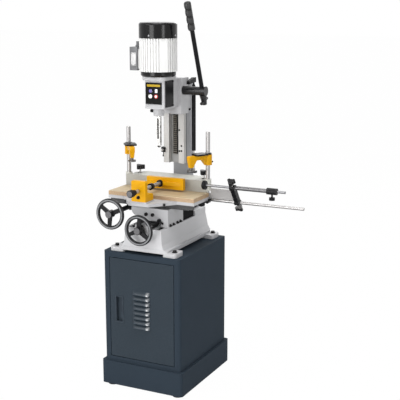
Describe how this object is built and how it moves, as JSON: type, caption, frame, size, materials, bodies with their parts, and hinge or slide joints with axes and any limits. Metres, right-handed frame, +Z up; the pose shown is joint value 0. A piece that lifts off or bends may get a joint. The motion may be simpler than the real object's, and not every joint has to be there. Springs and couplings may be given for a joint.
{
  "type": "floor-standing hollow chisel mortiser",
  "caption": "Floor-standing hollow chisel mortiser: cabinet with door, cast base, cross-slide table with vise, hold-downs and work stop, and a rack-fed motor head with a long lever.",
  "frame": {"origin": "centre of the cabinet's footprint, on the floor", "axes": "+X to the right as the operator sees it, +Y to the back, +Z up"},
  "size_m": [0.914, 0.596, 1.7908],
  "materials": {
    "cabinet_paint": "satin powder coat",
    "casting_paint": "smooth light grey paint",
    "amber_paint": "gloss paint",
    "black_plastic": "matte",
    "black_metal": "black oxide and paint",
    "bright_steel": "polished",
    "motor_alloy": "satin",
    "board_wood": "oiled birch",
    "foot_rubber": "matte",
    "button_white": "gloss",
    "button_red": "gloss"
  },
  "bodies": {
    "stand": {"cabinet_shell": "cabinet_paint", "rubber_feet": "foot_rubber", "base_casting": "casting_paint", "frame_bolts": "black_metal", "column": "casting_paint", "head_rack": "bright_steel", "strut_rod": "black_metal", "bellows": "foot_rubber"},
    "door": {"cabinet_door": "cabinet_paint", "door_pull": "black_plastic"},
    "depth_stop": {"depth_stop": "black_metal"},
    "cross_wheel": {"y_wheel": "black_metal", "y_screw": "bright_steel"},
    "saddle": {"saddle": "casting_paint"},
    "saddle_lock": {"saddle_lock": "black_plastic"},
    "feed_wheel": {"x_wheel": "black_metal", "x_shaft": "black_metal"},
    "table": {"table_casting": "casting_paint", "table_board": "board_wood", "table_handles": "black_plastic", "vise_body": "amber_paint", "stop_bracket": "casting_paint"},
    "jaw": {"vise_jaw": "amber_paint"},
    "vise_screw": {"vise_screw": "bright_steel", "vise_knob": "black_plastic", "vise_collar": "black_metal"},
    "fence": {"fence": "casting_paint", "fence_posts": "bright_steel"},
    "fence_knob_left": {"fence_knob_left": "black_plastic"},
    "fence_knob_right": {"fence_knob_right": "black_plastic"},
    "hold_collar_left": {"hold_collar_left": "black_metal"},
    "hold_collar_right": {"hold_collar_right": "black_metal"},
    "hold_arm_left": {"hold_arm_left": "amber_paint", "hold_pad_left": "black_metal"},
    "hold_arm_right": {"hold_arm_right": "amber_paint", "hold_pad_right": "black_metal"},
    "low_rod": {"stop_rod_low": "bright_steel"},
    "link": {"stop_link": "black_metal"},
    "high_rod": {"stop_rod_high": "bright_steel", "stop_disc": "black_plastic"},
    "link_knob_top": {"link_knob_top": "black_plastic"},
    "link_knob_low": {"link_knob_low": "black_plastic"},
    "stop_thumb": {"stop_thumb": "black_plastic"},
    "head": {"head_casting": "casting_paint", "control_panel": "black_plastic", "side_cover": "black_plastic", "motor_covers": "black_metal", "motor_body": "motor_alloy", "switch_box": "black_plastic", "chisel": "bright_steel", "chisel_bush": "casting_paint", "strut_tube": "black_metal"},
    "start_button": {"start_button": "button_white"},
    "stop_button": {"stop_button": "button_red"},
    "spindle": {"rotor": "bright_steel", "auger_bit": "bright_steel"},
    "bush_screw": {"bush_screw": "black_plastic"},
    "lever": {"lever_hub": "black_metal", "lever_arm": "black_metal", "lever_grip": "black_plastic"}
  },
  "joints": [
    {"name": "door_swing", "type": "hinge", "parent": "stand", "child": "door", "pos_m": [0.161, -0.24, 0.39], "axis": [0, 0, 1], "range_deg": [0, 105]},
    {"name": "depth_stop_slide", "type": "slide", "parent": "stand", "child": "depth_stop", "axis": [0, 0, 1], "range_m": [-0.02, 0.09]},
    {"name": "cross_turn", "type": "hinge", "parent": "stand", "child": "cross_wheel", "pos_m": [0, -0.262, 0.779], "axis": [0, 1, 0], "range_deg": [-3250, 2530]},
    {"name": "saddle_slide", "type": "slide", "parent": "stand", "child": "saddle", "axis": [0, 1, 0], "range_m": [-0.045, 0.035], "deforming": ["bellows"]},
    {"name": "saddle_lock_turn", "type": "hinge", "parent": "saddle", "child": "saddle_lock", "pos_m": [0.052, -0.165, 0.81], "axis": [0, 1, 0], "range_deg": [-40, 40]},
    {"name": "table_slide", "type": "slide", "parent": "saddle", "child": "table", "axis": [1, 0, 0], "range_m": [-0.1, 0.1]},
    {"name": "feed_turn", "type": "hinge", "parent": "saddle", "child": "feed_wheel", "pos_m": [-0.115, -0.315, 0.85525], "axis": [0, 1, 0], "range_deg": [-380, 380]},
    {"name": "jaw_slide", "type": "slide", "parent": "table", "child": "jaw", "axis": [0, 1, 0], "range_m": [-0.085, 0.01]},
    {"name": "vise_turn", "type": "hinge", "parent": "jaw", "child": "vise_screw", "pos_m": [0, -0.2, 0.96], "axis": [0, 1, 0], "range_deg": [-5110, 610]},
    {"name": "fence_slide", "type": "slide", "parent": "table", "child": "fence", "axis": [0, 1, 0], "range_m": [-0.01, 0.01]},
    {"name": "fence_knob_left_turn", "type": "hinge", "parent": "table", "child": "fence_knob_left", "pos_m": [-0.171, 0.058, 0.99], "axis": [0, 0, 1], "continuous": true},
    {"name": "fence_knob_right_turn", "type": "hinge", "parent": "table", "child": "fence_knob_right", "pos_m": [0.171, 0.058, 0.99], "axis": [0, 0, 1], "continuous": true},
    {"name": "hold_left_slide", "type": "slide", "parent": "fence", "child": "hold_collar_left", "axis": [0, 0, 1], "range_m": [-0.08, 0.06]},
    {"name": "hold_left_swing", "type": "hinge", "parent": "hold_collar_left", "child": "hold_arm_left", "pos_m": [-0.21, 0.02, 1.09], "axis": [0, 0, 1], "range_deg": [-90, 20]},
    {"name": "hold_right_slide", "type": "slide", "parent": "fence", "child": "hold_collar_right", "axis": [0, 0, -1], "range_m": [-0.08, 0.06]},
    {"name": "hold_right_swing", "type": "hinge", "parent": "hold_collar_right", "child": "hold_arm_right", "pos_m": [0.21, 0.02, 1.075], "axis": [0, 0, -1], "range_deg": [-90, 20]},
    {"name": "low_rod_slide", "type": "slide", "parent": "table", "child": "low_rod", "axis": [1, 0, 0], "range_m": [0, 0.05]},
    {"name": "link_swing", "type": "hinge", "parent": "low_rod", "child": "link", "pos_m": [0.365, 0.012, 0.89], "axis": [1, 0, 0], "range_deg": [-8, 12]},
    {"name": "high_rod_slide", "type": "slide", "parent": "link", "child": "high_rod", "axis": [1, 0, 0], "range_m": [-0.08, 0.1]},
    {"name": "link_knob_top_turn", "type": "hinge", "parent": "link", "child": "link_knob_top", "pos_m": [0.365, -0.044, 0.969], "axis": [0, -0.5783, 0.8158], "continuous": true},
    {"name": "link_knob_low_turn", "type": "hinge", "parent": "link", "child": "link_knob_low", "pos_m": [0.365, 0.012, 0.89], "axis": [0, -0.5783, 0.8158], "continuous": true},
    {"name": "stop_thumb_turn", "type": "hinge", "parent": "link", "child": "stop_thumb", "pos_m": [0.5545, -0.044, 0.94], "axis": [0, 0, 1], "continuous": true},
    {"name": "head_feed", "type": "slide", "parent": "stand", "child": "head", "axis": [0, 0, -1], "range_m": [0, 0.072], "stiffness_N_per_m": 900, "springref_m": -0.75},
    {"name": "lever_turn", "type": "hinge", "parent": "head", "child": "lever", "pos_m": [0.165, 0.054, 1.385], "axis": [1, 0, 0], "range_deg": [-1, 99]},
    {"name": "spindle_spin", "type": "hinge", "parent": "head", "child": "spindle", "pos_m": [0, -0.062, 1.4], "axis": [0, 0, 1], "continuous": true},
    {"name": "start_press", "type": "slide", "parent": "head", "child": "start_button", "axis": [0, 1, 0], "range_m": [0, 0.003], "stiffness_N_per_m": 400, "springref_m": -0.001},
    {"name": "stop_press", "type": "slide", "parent": "head", "child": "stop_button", "axis": [0, 1, 0], "range_m": [0, 0.003], "stiffness_N_per_m": 400, "springref_m": -0.001},
    {"name": "bush_screw_turn", "type": "hinge", "parent": "head", "child": "bush_screw", "pos_m": [-0.035, -0.062, 1.297], "axis": [1, 0, 0], "continuous": true}
  ],
  "couplings": [
    {"joint": "cross_turn", "follows": "saddle_slide", "rad_per_m": 1256.6},
    {"joint": "feed_turn", "follows": "table_slide", "rad_per_m": 63.492},
    {"joint": "vise_turn", "follows": "jaw_slide", "rad_per_m": 1047.2},
    {"joint": "lever_turn", "follows": "head_feed", "rad_per_m": 23.81}
  ]
}
